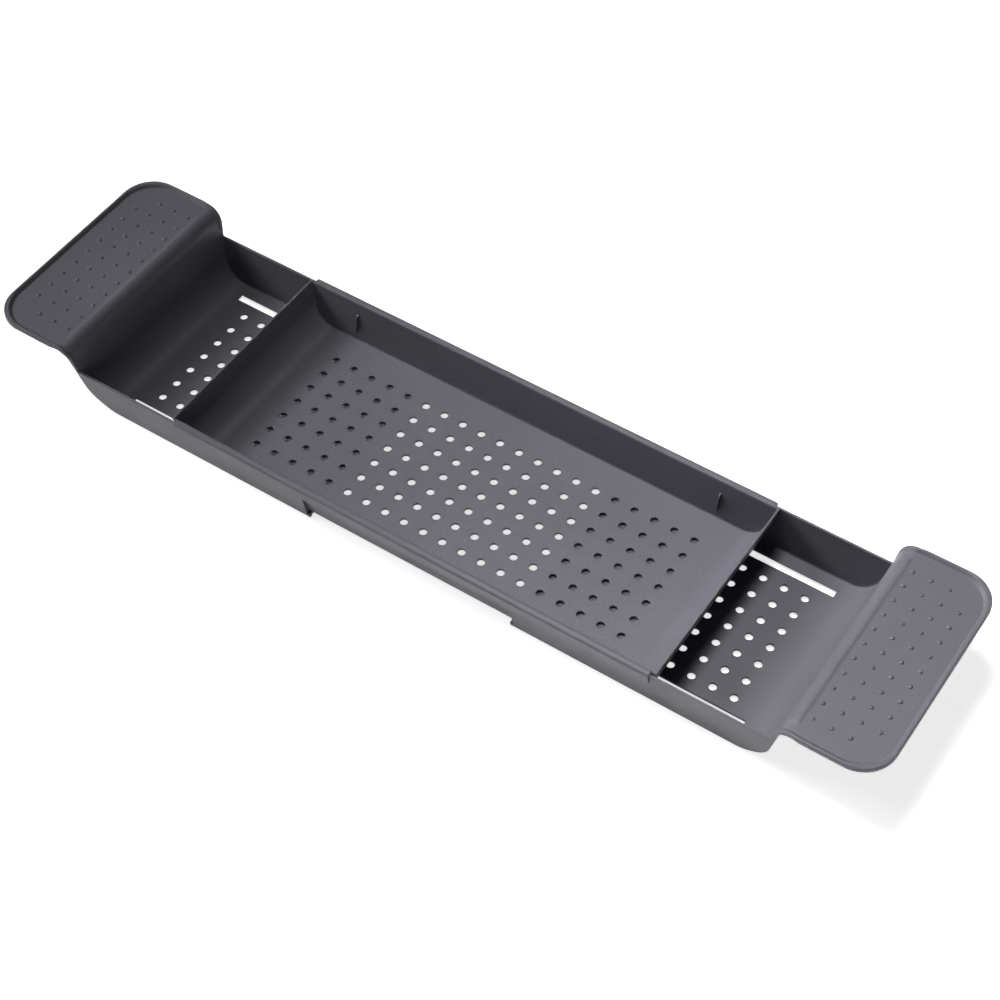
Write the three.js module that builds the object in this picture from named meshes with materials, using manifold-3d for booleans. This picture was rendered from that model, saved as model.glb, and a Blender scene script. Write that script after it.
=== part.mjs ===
// Extendable bath rack: a perforated centre tray and two sliding end trays.
//
// Millimetres, +Z up. The rack's length runs along X and its width along Y. The origin is at the
// middle of the rack, on the plane that the feet of the end trays stand on.
// Each tray is one injection moulding, and each is one solid. The end trays nest between the long
// walls of the centre tray and its turned-down rims, and slide along X.

import * as THREE from 'three';
import { mergeVertices } from 'three/addons/utils/BufferGeometryUtils.js';
import Module from 'manifold-3d';

// Driving dimensions: fits shared by all three trays
const slideGap = 0.35;          // running gap between floors and between rim and wall top
const sideGap = 0.5;            // sideways gap between nested walls
const stopGap = 0.6;            // gap left at a hook when an end tray reaches its stop
const travelIn = 80;            // how far an end tray slides in from the place shown
const travelOut = 60;           // how far it slides out
const innerLeanDegrees = 11.3;  // lean of the nested wall faces
const outerLeanDegrees = 10.1;  // lean of the end trays' outer faces and of the hooked rim
const overrun = 1;              // how far a cutter or a joined piece reaches past a face
const plasticColour = '#5b595e';

// Driving dimensions: drain holes, the same in all floors
const holePitch = 15.5;
const holeDiameter = 5.6;
const holeMargin = 4;           // least floor left between a hole and an edge or a slot
const holeSides = 8;

// Driving dimensions: centre tray
const centreFloor = 2.0;        // floor thickness
const centreWall = 1.5;         // wall thickness, measured level
const centreDepth = 30.5;       // from the floor to the top of the rim
const floorHalfWidth = 71.5;    // from the middle to the foot of a long wall, inside
const endWallReach = 189.5;     // from the middle to the inner top edge of an end wall
const scoopRadius = 20;         // between the floor and an end wall, inside
const footRadius = 1.5;         // between the floor and a long wall, inside
const footRound = 1.2;          // the same corner, outside
const holeToScoop = 12;         // least flat floor between the outermost holes and a scoop

// Driving dimensions: hooked rim of the long walls
const rimWidth = 5.6;
const rimWall = 1.4;
const rimRound = 1.7;
const rimDrop = 11;             // from the top of the rim to its lower edge
const rimEndInset = 2.3;        // from the end wall's inner top edge back to the rim's end
const rimCorner = 3;            // round of the lower corners at the rim's ends

// Driving dimensions: fins inside the long walls
const finInset = 41.1;          // from the end wall's inner top edge
const finThickness = 1.5;
const finSetback = 0.9;         // free edge, out from the wall's foot
const finBase = 3.5;
const finShoulder = 15;
const finTop = 21;

// Driving dimensions: snap hooks under the floor of the centre tray
const hookInset = 28.5;         // from the end wall's inner top edge
const hookLength = 8;
const hookSplit = 0.8;
const hookBarb = 0.9;
const hookHead = 1.0;

// Driving dimensions: end trays
const endFloor = 2.0;
const endFoot = 1.6;            // foot edge below the floor
const endFootWidth = 2.4;
const endWallAtFloor = 2.4;     // wall thickness at the floor, measured level
const endTongue = 2.5;          // how far the floor reaches in past the side walls
const endTongueRound = 2.0;
const slotWidth = 6.4;
const slotInset = 11;           // from the foot of the centre tray's wall to the slot's middle
const slotToInnerEnd = 13.4;    // from the slot to the inner end of the side walls
const slotToRise = 2.4;
const holeToRise = 17.5;        // from the outermost column of holes

// Driving dimensions: S-shaped rise
const riseRadius = 24.3;        // underside of the lower bend
const riseLeanDegrees = 12;
const shoulderRadius = 9;       // underside of the upper bend
const riseWall = 2.2;

// Driving dimensions: wing
const wingRise = 50.85;         // from the end tray's floor to the wing's plate
const wingPlate = 2.2;
const wingLength = 59.3;
const wingOverhang = 0.7;       // how much wider the wing is than the rise, on each side
const wingCornerRadius = 24;
const wingFlare = 6;            // length over which the rise widens into the wing
const wingChamfer = 1.2;        // round the wing's lower edge
const lipHeight = 2.0;
const lipTop = 1.6;
const lipSlope = 2.6;
const dishCornerRadius = 24;    // at the foot of the lip's slope
const ridgeWidth = 6;
const ridgeHeight = 1.0;
const ridgeEndGap = 6;

// Driving dimensions: grip bumps
const bumpColumns = 4;
const bumpRows = 11;
const bumpOuterRows = 9;
const bumpPitchX = 12.77;
const bumpPitchY = 13.13;
const bumpInset = 4.9;          // from the shoulder to the innermost column
const bumpRadius = 1.6;
const bumpHeight = 0.8;
const bumpSides = 6;

// Heights that follow
const endUnder = endFoot;
const endTop = endUnder + endFloor;
const centreUnder = endTop + slideGap;
const centreTop = centreUnder + centreFloor;
const rimTop = centreTop + centreDepth;
const rimUnder = rimTop - rimWall;
const endWallTop = rimUnder - slideGap;
const rimLow = rimTop - rimDrop;
const plateTop = endTop + wingRise;
const plateUnder = plateTop - wingPlate;

// Leaning faces: how far each lies from the middle plane at a height
const innerLean = Math.tan(THREE.MathUtils.degToRad(innerLeanDegrees));
const outerLean = Math.tan(THREE.MathUtils.degToRad(outerLeanDegrees));
const centreInside = (z) => floorHalfWidth + innerLean * (z - centreTop);
const centreOutside = (z) => centreInside(z) + centreWall;
const endInside = (z) => centreOutside(z) + sideGap;
const endOutside = (z) => endInside(endTop) + endWallAtFloor + outerLean * (z - endTop);
const rimOutside = (z) => centreInside(rimTop) + rimWidth + outerLean * (z - rimTop);
const rimInside = (z) => rimOutside(z) - rimWall;

// Places that follow, with both end trays pulled out as far as shown
const rimHalfLength = endWallReach - rimEndInset;
const finPlace = endWallReach - finInset;
const hookPlace = endWallReach - hookInset;
const slotPlace = floorHalfWidth - slotInset;
const slotInner = hookPlace - hookLength / 2 - travelOut - stopGap;
const slotOuter = hookPlace + hookLength / 2 + travelIn + stopGap;
const endInner = slotInner - slotToInnerEnd;
const riseFoot = slotOuter + slotToRise;
const endLastHole = riseFoot - holeToRise;

// Lines of the S-shaped rise, seen from the side: its underside and its upper side
const riseLean = THREE.MathUtils.degToRad(riseLeanDegrees);
const bendReach = Math.tan((Math.PI / 2 - riseLean) / 2);
const riseCorner = riseFoot + riseRadius * bendReach;
const riseOutside = (z) => riseCorner + Math.tan(riseLean) * (z - endUnder);
const riseInside = (z) => riseOutside(z) - riseWall / Math.cos(riseLean);
const wingInner = riseOutside(plateUnder) + shoulderRadius * bendReach;
const wingEnd = wingInner + wingLength;
const wingHalfWidth = endOutside(plateTop) + wingOverhang;
const bumpFirst = wingInner + bumpInset;

const arcStep = Math.PI / 12;   // turn of an arc from one facet to the next
const unitX = new THREE.Vector3(1, 0, 0);
const unitY = new THREE.Vector3(0, 1, 0);
const unitZ = new THREE.Vector3(0, 0, 1);

const wasm = await Module();
wasm.setup();

// Solids, and meshes made of them

function toSolid(geometry) {
  const bare = geometry.clone();
  bare.deleteAttribute('normal');
  bare.deleteAttribute('uv');
  const merged = mergeVertices(bare);
  return new wasm.Manifold(new wasm.Mesh({
    numProp: 3,
    vertProperties: new Float32Array(merged.attributes.position.array),
    triVerts: new Uint32Array(merged.index.array),
  }));
}

function toGeometry(solid) {
  const mesh = solid.getMesh();
  const geometry = new THREE.BufferGeometry();
  geometry.setAttribute('position', new THREE.BufferAttribute(mesh.vertProperties, 3));
  geometry.setIndex(new THREE.BufferAttribute(mesh.triVerts, 1));
  geometry.computeVertexNormals();
  return geometry;
}

const join = (solids) => solids.reduce((whole, one) => whole.add(one));

// An outline whose corners are [across, up, radius]. An arc touches both sides of a corner that
// has a radius; any other corner stays sharp.
function outline(corners) {
  const places = corners.map(([across, up]) => new THREE.Vector2(across, up));
  return corners.flatMap(([, , radius = 0], i) => {
    const corner = places[i];
    if (radius === 0) return [corner];
    const back = places.at(i - 1).clone().sub(corner).normalize();
    const ahead = places[(i + 1) % places.length].clone().sub(corner).normalize();
    const half = Math.acos(back.dot(ahead)) / 2;
    const inward = back.clone().add(ahead).normalize();
    const centre = corner.clone().addScaledVector(inward, radius / Math.sin(half));
    const first = back.clone().multiplyScalar(radius / Math.tan(half)).add(corner).sub(centre);
    const turn = (Math.PI - 2 * half) * Math.sign(back.cross(ahead));
    const steps = Math.max(1, Math.round(Math.abs(turn) / arcStep));
    return Array.from({ length: steps + 1 }, (_, k) => (
      first.clone().rotateAround(new THREE.Vector2(), -turn * k / steps).add(centre)
    ));
  });
}

// The corners of one side, and the same corners mirrored on the other side
const bothSides = (side) => [...side, ...side.map(([a, b, r]) => [-a, b, r]).reverse()];

function prism(corners, from, to) {
  const shape = new THREE.Shape(outline(corners));
  const geometry = new THREE.ExtrudeGeometry(shape, { depth: to - from, bevelEnabled: false });
  return geometry.translate(0, 0, from);
}

// A cross-section in (y, z) carried along X
function alongX(corners, from, to) {
  const turn = new THREE.Matrix4().makeBasis(unitY, unitZ, unitX);
  return toSolid(prism(corners, from, to).applyMatrix4(turn));
}

// A side outline in (x, z) carried along Y, as far to the back as to the front
function alongY(corners, halfWidth) {
  const turn = new THREE.Matrix4().makeBasis(unitX, unitZ, unitY.clone().negate());
  return toSolid(prism(corners, -halfWidth, halfWidth).applyMatrix4(turn));
}

const alongZ = (corners, from, to) => toSolid(prism(corners, from, to));

// A solid between two outlines of as many points, one above the other
function loft(lower, lowerZ, upper, upperZ) {
  const count = lower.length;
  const positions = [
    ...lower.flatMap((p) => [p.x, p.y, lowerZ]),
    ...upper.flatMap((p) => [p.x, p.y, upperZ]),
  ];
  const sides = lower.flatMap((_, i) => {
    const next = (i + 1) % count;
    return [i, next, next + count, i, next + count, i + count];
  });
  const caps = THREE.ShapeUtils.triangulateShape(lower, []);
  const top = caps.flatMap(([a, b, c]) => [a + count, b + count, c + count]);
  const bottom = caps.flatMap(([a, b, c]) => [c, b, a]);
  const geometry = new THREE.BufferGeometry();
  geometry.setAttribute('position', new THREE.Float32BufferAttribute(positions, 3));
  geometry.setIndex([...sides, ...top, ...bottom]);
  return toSolid(geometry);
}

// Drain holes through a floor, in columns at the given places along X and in as many rows as fit
// between the two slots
function drainHoles(columns, bottom, top) {
  const height = top - bottom + 2 * overrun;
  const room = slotPlace - slotWidth / 2 - holeMargin - holeDiameter / 2;
  const sideRows = Math.floor(room / holePitch);
  const rows = Array.from({ length: 2 * sideRows + 1 }, (_, i) => (i - sideRows) * holePitch);
  const cutter = new THREE.CylinderGeometry(holeDiameter / 2, holeDiameter / 2, height, holeSides)
    .rotateX(Math.PI / 2)
    .translate(0, 0, (bottom + top) / 2);
  return join(columns.flatMap((x) => rows.map((y) => toSolid(cutter.clone().translate(x, y, 0)))));
}

// Centre tray

const centreReach = (z) => endWallReach + innerLean * (z - rimTop);

function centreShell() {
  const cross = bothSides([
    [centreOutside(centreUnder), centreUnder, footRound],
    [centreOutside(rimTop), rimTop],
  ]);
  const side = bothSides([
    [centreReach(centreUnder) + centreWall, centreUnder, scoopRadius + centreFloor],
    [centreReach(rimTop) + centreWall, rimTop],
  ]);
  const length = endWallReach + centreWall + overrun;
  return alongX(cross, -length, length).intersect(alongY(side, rimOutside(rimTop)));
}

function centreHollow() {
  const open = rimTop + overrun;
  const flare = centreInside(rimTop) + 2 * rimRound;
  const cross = bothSides([
    [centreInside(centreTop), centreTop, footRadius],
    [centreInside(rimTop), rimTop, rimRound],
    [flare, rimTop],
    [flare, open],
  ]);
  const side = bothSides([
    [centreReach(centreTop), centreTop, scoopRadius],
    [centreReach(open), open],
  ]);
  return alongX(cross, -endWallReach - overrun, endWallReach + overrun)
    .intersect(alongY(side, flare + overrun));
}

// The rim turns outwards over the wall of an end tray and hangs down beside it
function hookedRims() {
  const cross = [
    [centreInside(rimUnder), rimUnder],
    [centreInside(rimTop), rimTop],
    [rimOutside(rimTop), rimTop, rimRound],
    [rimOutside(rimLow), rimLow],
    [rimInside(rimLow), rimLow],
    [rimInside(rimUnder), rimUnder],
  ];
  const side = bothSides([[rimHalfLength, rimLow, rimCorner], [rimHalfLength, rimTop]]);
  const mirrored = cross.map(([y, z, radius]) => [-y, z, radius]).reverse();
  const bars = join([cross, mirrored].map((one) => alongX(one, -rimHalfLength, rimHalfLength)));
  return bars.intersect(alongY(side, rimOutside(rimTop) + overrun));
}

// Upright fins on the long walls, each with a straight free edge and a sloping top
function fins() {
  const edge = floorHalfWidth + finSetback;
  const low = centreTop + finBase;
  const high = centreTop + finTop;
  const corners = [
    [edge, low],
    [edge, centreTop + finShoulder, finTop - finShoulder],
    [centreInside(high), high],
    [centreInside(high) + centreWall / 2, high],
    [centreInside(low) + centreWall / 2, low],
  ];
  const mirrored = corners.map(([y, z, radius]) => [-y, z, radius]).reverse();
  return join([-finPlace, finPlace].flatMap((x) => [corners, mirrored].map((one) => (
    alongX(one, x - finThickness / 2, x + finThickness / 2)
  ))));
}

// Snap hooks: a pair of legs through the slot, each with a barb under the end tray's floor
function snapHooks() {
  const legInside = hookSplit / 2;
  const legOutside = slotWidth / 2 - sideGap;
  const barbTop = endUnder - slideGap;
  const low = barbTop - hookHead;
  const root = centreUnder + centreFloor / 2;
  const leg = [
    [legInside, low],
    [legOutside, low],
    [slotWidth / 2 + hookBarb, barbTop],
    [legOutside, barbTop],
    [legOutside, root],
    [legInside, root],
  ];
  const other = leg.map(([y, z]) => [-y, z]).reverse();
  return join([-hookPlace, hookPlace].flatMap((x) => [-slotPlace, slotPlace].flatMap((y) => (
    [leg, other].map((one) => (
      alongX(one, x - hookLength / 2, x + hookLength / 2).translate([0, y, 0])
    ))
  ))));
}

function centreTray() {
  const scoopReach = scoopRadius * Math.tan((Math.PI / 2 - Math.atan(innerLean)) / 2);
  const room = centreReach(centreTop) - scoopReach - holeToScoop - holeDiameter / 2;
  const pairs = Math.floor(room / holePitch + 1 / 2);
  const columns = Array.from({ length: 2 * pairs }, (_, i) => (i - pairs + 1 / 2) * holePitch);
  return centreShell()
    .add(hookedRims())
    .subtract(centreHollow())
    .add(fins())
    .add(snapHooks())
    .subtract(drainHoles(columns, centreUnder, centreTop));
}

// End tray, as the one at the right-hand end

function endShell() {
  const cross = bothSides([[endOutside(0), 0], [endOutside(plateTop), plateTop]]);
  const side = [
    [endInner, endUnder],
    [riseCorner, endUnder, riseRadius],
    [riseOutside(plateUnder), plateUnder, shoulderRadius],
    [wingInner + overrun, plateUnder],
    [wingInner + overrun, plateTop],
    [riseInside(plateTop), plateTop, shoulderRadius + riseWall],
    [riseInside(endWallTop), endWallTop],
    [endInner, endWallTop],
  ];
  return alongX(cross, 0, wingEnd).intersect(alongY(side, wingHalfWidth));
}

function endHollow() {
  const open = endWallTop + overrun;
  const start = endInner - overrun;
  const cross = bothSides([[endInside(endTop), endTop, footRadius], [endInside(open), open]]);
  const side = [
    [start, endTop],
    [riseInside(endTop), endTop, riseRadius - riseWall],
    [riseInside(open), open],
    [start, open],
  ];
  return alongX(cross, start, wingEnd).intersect(alongY(side, wingHalfWidth));
}

// Feet: the side walls reach a little below the floor and run out into the rise. At the inner end
// the floor reaches in past them and is as deep as they are.
function endFeet() {
  const cross = bothSides([[endOutside(0), 0], [endOutside(endTop), endTop]]);
  const runOut = riseRadius / 2;
  const side = [
    [endInner - endTongue, 0, endTongueRound],
    [riseFoot + endFootWidth, 0, riseRadius],
    [riseFoot + runOut, endTop],
    [endInner - endTongue, endTop],
  ];
  const reach = endOutside(0) - endFootWidth;
  const between = bothSides([[reach, -overrun], [reach, endTop + overrun]]);
  return alongX(cross, 0, wingEnd)
    .intersect(alongY(side, wingHalfWidth))
    .subtract(alongX(between, endInner, wingEnd));
}

// Two slots for the snap hooks, as long as the travel needs
function guideSlots() {
  const corners = [
    [slotInner, -slotWidth / 2],
    [slotOuter, -slotWidth / 2],
    [slotOuter, slotWidth / 2],
    [slotInner, slotWidth / 2],
  ];
  return join([-slotPlace, slotPlace].map((y) => (
    alongZ(corners, endUnder - overrun, endTop + overrun).translate([0, y, 0])
  )));
}

// The wing seen from above: it widens a little from the rise, and its outer corners are round.
// A lip with a sloping inner side stands round it, and its lower edge is chamfered.
function wing() {
  const top = plateTop + lipHeight;
  const low = plateUnder + wingChamfer;
  const plate = (by) => [
    [wingInner, by - endOutside(plateTop)],
    [wingInner + wingFlare, by - wingHalfWidth],
    [wingEnd - by, by - wingHalfWidth, wingCornerRadius - by],
    [wingEnd - by, wingHalfWidth - by, wingCornerRadius - by],
    [wingInner + wingFlare, wingHalfWidth - by],
    [wingInner, endOutside(plateTop) - by],
  ];
  const inset = (by, radius) => outline([
    [wingInner - overrun, by - wingHalfWidth],
    [wingEnd - by, by - wingHalfWidth, radius],
    [wingEnd - by, wingHalfWidth - by, radius],
    [wingInner - overrun, wingHalfWidth - by],
  ]);
  const dish = loft(
    inset(lipTop + lipSlope, dishCornerRadius), plateTop,
    inset(lipTop, dishCornerRadius + lipSlope), top,
  );
  const bevelled = loft(outline(plate(wingChamfer)), plateUnder, outline(plate(0)), low);
  return alongZ(plate(0), low, top).subtract(dish).add(bevelled);
}

// The lip runs on down both sides of the rise and ends at the tops of the side walls
function riseLips() {
  const high = plateTop + lipHeight;
  const side = [
    [riseOutside(endWallTop), endWallTop],
    [riseOutside(plateUnder), plateUnder, shoulderRadius],
    [wingInner + wingFlare, plateUnder],
    [wingInner + wingFlare, high],
    [riseInside(high) - lipHeight, high, shoulderRadius + riseWall + lipHeight],
    [riseInside(endWallTop), endWallTop],
  ];
  const cross = bothSides([[endOutside(0), 0], [endOutside(high), high]]);
  const between = bothSides([
    [endOutside(0) - lipTop, 0],
    [endOutside(high) - lipTop, high],
    [endOutside(high) - lipTop, high + overrun],
  ]);
  return alongX(cross, riseFoot, wingEnd)
    .intersect(alongY(side, wingHalfWidth))
    .subtract(alongX(between, riseFoot, wingEnd));
}

// A low rounded ridge where the wing meets the rise
function ridge() {
  const crest = plateTop + ridgeHeight;
  const base = plateTop - riseWall / 2;
  const outer = wingInner;
  const inner = wingInner - ridgeWidth;
  const slope = (crest - base) / 2;
  const corners = [
    [inner, base],
    [outer, base],
    [outer - slope, crest, ridgeHeight],
    [inner + slope, crest, ridgeHeight],
  ];
  return alongY(corners, wingHalfWidth - lipTop - lipSlope - ridgeEndGap);
}

function gripBumps() {
  const bump = new THREE.ConeGeometry(2 * bumpRadius, 2 * bumpHeight, bumpSides)
    .rotateX(Math.PI / 2)
    .translate(0, 0, plateTop);
  return join(Array.from({ length: bumpColumns }).flatMap((_, column) => {
    const rows = column === bumpColumns - 1 ? bumpOuterRows : bumpRows;
    const x = bumpFirst + column * bumpPitchX;
    return Array.from({ length: rows }, (__, row) => (
      toSolid(bump.clone().translate(x, (row - (rows - 1) / 2) * bumpPitchY, 0))
    ));
  }));
}

function endTray() {
  const room = endLastHole - endInner - holeMargin - holeDiameter / 2;
  const count = Math.floor(room / holePitch) + 1;
  const columns = Array.from({ length: count }, (_, i) => endLastHole - i * holePitch);
  return endShell()
    .subtract(endHollow())
    .add(endFeet())
    .add(wing())
    .add(riseLips())
    .add(ridge())
    .add(gripBumps())
    .subtract(guideSlots())
    .subtract(drainHoles(columns, endUnder, endTop));
}

// Scene graph

function tray(name, geometry, turn = 0) {
  const material = new THREE.MeshStandardMaterial({
    color: plasticColour,
    roughness: 0.6,
    metalness: 0,
  });
  const mesh = new THREE.Mesh(geometry, material);
  mesh.name = name;
  mesh.rotation.z = turn;
  return mesh;
}

const endGeometry = toGeometry(endTray());
const rack = new THREE.Group();
rack.name = 'bath_rack';
rack.add(tray('centre_tray', toGeometry(centreTray())));
rack.add(tray('right_end_tray', endGeometry));
rack.add(tray('left_end_tray', endGeometry, Math.PI));

export default rack;
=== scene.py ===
"""Extendable bath rack: a perforated centre tray with hooked rims and an end tray at each end.

Every tray is one moulding. It is built as a thick sheet: an upper and an under surface over one
grid of lines along the rack (u) and across it (v), joined by rounded edges.
"""

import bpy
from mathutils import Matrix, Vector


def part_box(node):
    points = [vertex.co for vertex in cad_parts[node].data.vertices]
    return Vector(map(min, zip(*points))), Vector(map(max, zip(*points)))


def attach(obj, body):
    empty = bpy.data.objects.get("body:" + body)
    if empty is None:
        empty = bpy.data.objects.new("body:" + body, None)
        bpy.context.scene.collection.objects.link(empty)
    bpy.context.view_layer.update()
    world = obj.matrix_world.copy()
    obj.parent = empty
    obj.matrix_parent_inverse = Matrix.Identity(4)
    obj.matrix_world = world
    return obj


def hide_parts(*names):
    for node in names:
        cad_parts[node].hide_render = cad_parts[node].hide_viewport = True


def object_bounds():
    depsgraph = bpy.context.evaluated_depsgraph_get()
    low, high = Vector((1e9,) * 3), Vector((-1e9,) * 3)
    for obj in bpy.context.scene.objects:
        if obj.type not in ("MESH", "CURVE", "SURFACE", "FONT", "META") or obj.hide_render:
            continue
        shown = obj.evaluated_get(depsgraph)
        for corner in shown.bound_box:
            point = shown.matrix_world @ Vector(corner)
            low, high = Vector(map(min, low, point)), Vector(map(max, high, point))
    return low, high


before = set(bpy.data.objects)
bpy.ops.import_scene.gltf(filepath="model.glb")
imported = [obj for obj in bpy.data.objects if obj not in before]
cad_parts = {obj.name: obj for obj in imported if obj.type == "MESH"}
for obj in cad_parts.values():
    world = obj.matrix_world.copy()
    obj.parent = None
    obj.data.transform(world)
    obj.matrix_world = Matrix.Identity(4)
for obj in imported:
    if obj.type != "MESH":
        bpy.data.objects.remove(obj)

from types import SimpleNamespace

import bmesh
import bpy
import numpy as np
from bpy.props import FloatProperty, FloatVectorProperty, IntProperty, PointerProperty
from mathutils import Matrix, Vector

bl_info = {
    "name": "Bath Rack",
    "version": (1, 0, 0),
    "blender": (4, 5, 0),
    "location": "View3D > Sidebar > Bath Rack",
    "description": "Builds an extendable bath rack of three nested plastic trays",
    "category": "Add Mesh",
}

CAD_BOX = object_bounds()
MERGE_REACH = 2e-6          # points nearer than this become one
LEAST_LENGTH = 1e-12        # taken for the length of a vector that has none
LEAST_BLEND = 1e-9          # taken for the width of a blend that has none
SHARP_ANGLE = 38            # in degrees, from which an edge is shaded sharp
SENSOR_WIDTH = 36           # of the camera, in mm

# Lines of the square patch round a hole, as shares of half a hole pitch
PATCH_SHARES = np.array([-1, -0.64, -0.36, -0.18, 0, 0.18, 0.36, 0.64])
PATCH_STEPS = np.arange(-4, 4)
PATCH_EDGE = 4              # step of the patch's outer lines
HOLE_STEP = 2               # step of the lines that become the hole's edge
FAR_STEP = 99               # step of a line that passes no hole
ROUND_SHARES = np.array([1, 1, 1, 0.5, 0])      # how round each ring of the patch is

# Steps between the lines of every tray's grid
ARC_STEPS = 3               # round a free edge
GAP_STEPS = 3               # from the last holes to the bend at an end
SCOOP_STEPS = 24            # round that bend
WALL_STEPS = 18             # up a long wall
FOOT_STEPS = 4              # round the corner between a floor and a long wall

# Steps on the centre tray
MARGIN_STEPS = 5            # from the last holes to the corner at a long wall
RIM_ARC_STEPS = 5           # round an upper edge of a hooked rim
RIM_TOP_STEPS = 3           # over the flat of a rim
SKIRT_STEPS = 5             # down the outside of a rim
END_WALL_STEPS = 9          # up an end wall
END_TOP_STEPS = 3           # round an end wall's inner top edge
SHIFT_STEPS = 9             # over which the under stations join the upper ones
FIN_STEPS = 3               # up a fin's straight edge
FIN_ARC_STEPS = 6           # over a fin's round slope

# Lines and steps on an end tray
TONGUE_LINES = 5            # on the floor's inner end
TONGUE_GAP = 0.0001         # from the last of them to the walls' inner end
RISE_STEPS = 8              # up the rise, and from the shoulder to the level wing
SHOULDER_STEPS = 20         # round the shoulder
PLATE_START = 0.0035        # from the shoulder to the level wing
PLATE_STEPS = 11            # over the level wing
SLOT_SIDE_STEPS = 4         # from a slot to the corner at a side wall
WALL_TOP_STEPS = 4          # over a side wall's top, its inner round included
SIDE_LINES = 9              # down a side wall's outer face
TOE_STEPS = 2               # round a lower edge of a foot edge
FACE_LINES = 5              # down the wing's upright edge
CHAMFER_STEPS = 5           # round the wing's lower edge
LIP_LINES = 17              # across the lip
LIP_BAND = (0.0012, 0.0066)     # first and last of them, in from the wing's edge
LIP_EASE = 0.22             # share of the lip's slope that is bent at either end
BUMP_SIDES = 12
BUMP_POWER = 2.4            # how round the bumps' profile is
BUMP_RING_SHARES = np.array([1, 0.9, 0.72, 0.5, 0.26])

# The plastic's patterns
DRIFT_SCALE = 9             # slow drift of the colour, per metre
SPECK_SCALE = 1100          # fine specks, per metre
GLOSS_SCALE = 40            # uneven gloss, per metre
GLOSS_SPREAD = 0.05         # how far the roughness drifts
GRAIN_STRENGTH = 0.35
NOISE_RANGE = (0.3, 0.7)    # nearly all of a noise lies in it


def size(name, description, default):
    """A length that a user can change."""
    return FloatProperty(
        name=name, description=description, default=default, min=0, unit="LENGTH", precision=5
    )


def angle(name, description, degrees):
    """An angle that a user can change."""
    return FloatProperty(
        name=name, description=description, default=np.radians(degrees), subtype="ANGLE"
    )


def number(name, description, default):
    """A number of like things that a user can change."""
    return IntProperty(name=name, description=description, default=default)


def factor(name, description, default):
    """A share or strength from 0 to 1 that a user can change."""
    return FloatProperty(
        name=name, description=description, default=default, min=0, max=1, subtype="FACTOR"
    )


def paint(name, description, default):
    """A colour that a user can change."""
    return FloatVectorProperty(
        name=name, description=description, default=default, size=3, min=0, max=1, subtype="COLOR"
    )


def direction(name, description, default):
    """A direction that a user can change."""
    return FloatVectorProperty(
        name=name, description=description, default=default, size=3, subtype="DIRECTION"
    )


def power(name, description, default):
    """A lamp's power that a user can change."""
    return FloatProperty(name=name, description=description, default=default, unit="POWER")


class SharedSizes(bpy.types.PropertyGroup):
    """Fits and drain holes that all three trays share."""

    slide_gap: size("Slide Gap", "Running gap between the nested floors and rims", 0.00035)
    side_gap: size("Side Gap", "Sideways gap between nested walls", 0.0005)
    inner_lean: angle("Inner Lean", "Lean of the nested wall faces", 11.3)
    outer_lean: angle("Outer Lean", "Lean of the outer faces", 10.1)
    hole_pitch: size("Hole Pitch", "Distance between drain holes", 0.0155)
    hole_diameter: size("Hole Diameter", "Diameter of a drain hole", 0.0056)
    hole_rows: number("Hole Rows", "Rows of drain holes", 7)
    edge_round: size("Edge Round", "Round of the free edges", 0.0004)
    corner_round: size("Corner Round", "How softly two walls meet in a corner", 0.0022)


class CentreSizes(bpy.types.PropertyGroup):
    """Sizes of the centre tray."""

    floor: size("Floor", "Floor thickness", 0.002)
    wall: size("Wall", "Wall thickness, measured level", 0.0015)
    depth: size("Depth", "From the floor to the top of the rim", 0.0305)
    floor_half_width: size("Floor Half Width", "Middle to the foot of a long wall", 0.0715)
    end_wall_reach: size("End Wall Reach", "Middle to the inner top edge of an end wall", 0.1895)
    hole_columns: number("Hole Columns", "Columns of drain holes", 20)
    scoop_radius: size("Scoop Radius", "Between the floor and an end wall", 0.02)
    foot_radius: size("Foot Radius", "Between floor and long wall, inside", 0.0015)
    foot_round: size("Foot Round", "The same corner outside", 0.0012)
    end_top_round: size("End Top Round", "Inner top edge of an end wall", 0.0007)
    rim_width: size("Rim Width", "Width of the hooked rim's top", 0.0056)
    rim_wall: size("Rim Wall", "Thickness of the hooked rim", 0.0014)
    rim_round: size("Rim Round", "Round of the rim's upper edges", 0.0017)
    rim_drop: size("Rim Drop", "From the rim's top to its lower edge", 0.011)
    rim_end_inset: size("Rim End Inset", "End wall's inner top edge to the rim's end", 0.0023)
    rim_corner: size("Rim Corner", "Round of the rim's lower end corners", 0.003)
    fin_inset: size("Fin Inset", "End wall's inner top edge to a fin", 0.0411)
    fin_thickness: size("Fin Thickness", "Thickness of a fin", 0.0015)
    fin_setback: size("Fin Setback", "Fin's free edge, out from the wall's foot", 0.0009)
    fin_base: size("Fin Base", "Floor to the fin's lower end", 0.0035)
    fin_shoulder: size("Fin Shoulder", "Floor to where the fin starts to slope", 0.015)
    fin_top: size("Fin Top", "Floor to the fin's upper end", 0.021)
    hook_inset: size("Hook Inset", "End wall's inner top edge to a snap hook", 0.0285)
    hook_length: size("Hook Length", "Length of a snap hook", 0.008)
    hook_split: size("Hook Split", "Slit between a hook's legs", 0.0008)
    hook_barb: size("Hook Barb", "How far a barb reaches under the slot's edge", 0.0009)
    hook_head: size("Hook Head", "Height of a hook's head", 0.001)


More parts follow.
